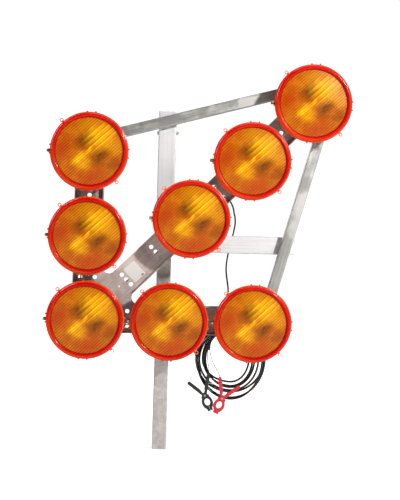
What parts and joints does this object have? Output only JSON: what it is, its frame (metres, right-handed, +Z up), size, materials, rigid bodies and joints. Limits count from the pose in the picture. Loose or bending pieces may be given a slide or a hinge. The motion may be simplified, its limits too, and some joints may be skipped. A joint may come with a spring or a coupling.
{
  "type": "portable directional arrow light",
  "caption": "Folded aluminium arrow with amber warning lamps, braced tube sockets on a square post, and a battery lead with spring clips.",
  "frame": {"origin": "centre of the square post's lower end, on the post's axis", "axes": "+Z up along the post, +X to the reader's right across the arrow's face, +Y away from the reader: the lamps face -Y"},
  "size_m": [0.842, 0.198, 1.102],
  "materials": {
    "sheet": "dull, weathered",
    "brace": "drawn tube, satin",
    "socket": "extruded tube, satin",
    "post_steel": "galvanised, satin",
    "zinc_screw": "zinc plated",
    "black_moulding": "moulded, fine grain",
    "housing_black": "moulded, satin",
    "amber_lens": "clear amber, gloss",
    "bright_reflector": "metallised, mirror bright",
    "bulb_glass": "clear",
    "gasket_rubber": "matt",
    "label_blank": "anodised, blank",
    "box_plastic": "moulded, satin",
    "board": "board with parts",
    "cable_black": "smooth sheath, semi-gloss",
    "wire_red": "smooth insulation",
    "wire_grey": "smooth insulation",
    "clip_red": "dipped, semi-gloss",
    "clip_black": "dipped, semi-gloss"
  },
  "bodies": {
    "mast": {"post": "post_steel", "post_head_plug": "black_moulding"},
    "lens_1": {"lamp_1_lens": "amber_lens"},
    "lens_2": {"lamp_2_lens": "amber_lens"},
    "lens_3": {"lamp_3_lens": "amber_lens"},
    "lens_4": {"lamp_4_lens": "amber_lens"},
    "lens_5": {"lamp_5_lens": "amber_lens"},
    "lens_6": {"lamp_6_lens": "amber_lens"},
    "lens_7": {"lamp_7_lens": "amber_lens"},
    "lens_8": {"lamp_8_lens": "amber_lens"},
    "vertical_stud": {"vertical_clamp_stud": "zinc_screw"},
    "vertical_knob": {"vertical_clamp_knob": "black_moulding"},
    "horizontal_stud": {"horizontal_clamp_stud": "zinc_screw"},
    "horizontal_knob": {"horizontal_clamp_knob": "black_moulding"},
    "red_lever": {"red_clip_lever": "clip_red"},
    "black_lever": {"black_clip_lever": "clip_black"},
    "arrow_frame": {"arrow_plate": "sheet", "battery_lead": "cable_black", "black_clip_body": "clip_black", "black_wire": "wire_grey", "brace_bolts": "zinc_screw", "brace_plugs": "black_moulding", "bulb_holders": "black_moulding", "bulbs": "bulb_glass", "cable_clips": "black_moulding", "cable_glands": "black_moulding", "clamp_blocks": "brace", "clip_pins": "zinc_screw", "flasher_board": "board", "flasher_box": "box_plastic", "flasher_lid": "box_plastic", "flasher_screws": "zinc_screw", "horizontal_sleeve": "socket", "lamp_1_housing": "housing_black", "lamp_2_housing": "housing_black", "lamp_3_housing": "housing_black", "lamp_4_housing": "housing_black", "lamp_5_housing": "housing_black", "lamp_6_housing": "housing_black", "lamp_7_housing": "housing_black", "lamp_8_housing": "housing_black", "lamp_harness": "cable_black", "lamp_nuts": "black_moulding", "lead_coil": "cable_black", "lead_hook": "zinc_screw", "lens_gaskets": "gasket_rubber", "lens_lock_screws": "zinc_screw", "link_cable": "cable_black", "rating_plate": "label_blank", "rating_plate_screw": "zinc_screw", "red_clip_body": "clip_red", "red_wire": "wire_red", "reflectors": "bright_reflector", "right_brace": "brace", "sleeve_spacers": "brace", "spacer_rivets": "zinc_screw", "stop_bolt": "zinc_screw", "top_brace": "brace", "vertical_sleeve": "socket"}
  },
  "joints": [
    {"name": "frame_lift", "type": "slide", "parent": "mast", "child": "arrow_frame", "axis": [0, 0, 1], "range_m": [0, 0.2]},
    {"name": "lens_1_turn", "type": "hinge", "parent": "arrow_frame", "child": "lens_1", "pos_m": [-0.215, -0.148, 0.841], "axis": [0, -1, 0], "range_deg": [0, 15]},
    {"name": "lens_2_turn", "type": "hinge", "parent": "arrow_frame", "child": "lens_2", "pos_m": [-0.215, -0.148, 0.609], "axis": [0, -1, 0], "range_deg": [0, 15]},
    {"name": "lens_3_turn", "type": "hinge", "parent": "arrow_frame", "child": "lens_3", "pos_m": [-0.215, -0.148, 0.377], "axis": [0, -1, 0], "range_deg": [0, 15]},
    {"name": "lens_4_turn", "type": "hinge", "parent": "arrow_frame", "child": "lens_4", "pos_m": [0.017, -0.148, 0.377], "axis": [0, -1, 0], "range_deg": [0, 15]},
    {"name": "lens_5_turn", "type": "hinge", "parent": "arrow_frame", "child": "lens_5", "pos_m": [0.249, -0.148, 0.377], "axis": [0, -1, 0], "range_deg": [0, 15]},
    {"name": "lens_6_turn", "type": "hinge", "parent": "arrow_frame", "child": "lens_6", "pos_m": [0.07067, -0.148, 0.66267], "axis": [0, -1, 0], "range_deg": [0, 15]},
    {"name": "lens_7_turn", "type": "hinge", "parent": "arrow_frame", "child": "lens_7", "pos_m": [0.23472, -0.148, 0.82672], "axis": [0, -1, 0], "range_deg": [0, 15]},
    {"name": "lens_8_turn", "type": "hinge", "parent": "arrow_frame", "child": "lens_8", "pos_m": [0.39877, -0.148, 0.99077], "axis": [0, -1, 0], "range_deg": [0, 15]},
    {"name": "vertical_clamp_screw", "type": "slide", "parent": "arrow_frame", "child": "vertical_stud", "axis": [1, 0, 0], "range_m": [0, 0.0025]},
    {"name": "vertical_knob_turn", "type": "hinge", "parent": "vertical_stud", "child": "vertical_knob", "pos_m": [0.035, 0, 0.702], "axis": [1, 0, 0], "range_deg": [0, 720]},
    {"name": "horizontal_clamp_screw", "type": "slide", "parent": "arrow_frame", "child": "horizontal_stud", "axis": [0, 0, -1], "range_m": [0, 0.0025]},
    {"name": "horizontal_knob_turn", "type": "hinge", "parent": "horizontal_stud", "child": "horizontal_knob", "pos_m": [0.11, 0, 0.557], "axis": [0, 0, -1], "range_deg": [0, 720]},
    {"name": "red_clip_squeeze", "type": "hinge", "parent": "arrow_frame", "child": "red_lever", "pos_m": [0.17397, -0.069, 0.15734], "axis": [0, -1, 0], "range_deg": [0, 34], "stiffness_Nm_per_rad": 0.1, "springref_deg": -17.19},
    {"name": "black_clip_squeeze", "type": "hinge", "parent": "arrow_frame", "child": "black_lever", "pos_m": [0.12535, -0.058, 0.16348], "axis": [0, 1, 0], "range_deg": [0, 34], "stiffness_Nm_per_rad": 0.1, "springref_deg": -17.19}
  ],
  "couplings": [
    {"joint": "vertical_knob_turn", "follows": "vertical_clamp_screw", "rad_per_m": 5026.5},
    {"joint": "horizontal_knob_turn", "follows": "horizontal_clamp_screw", "rad_per_m": 5026.5}
  ]
}
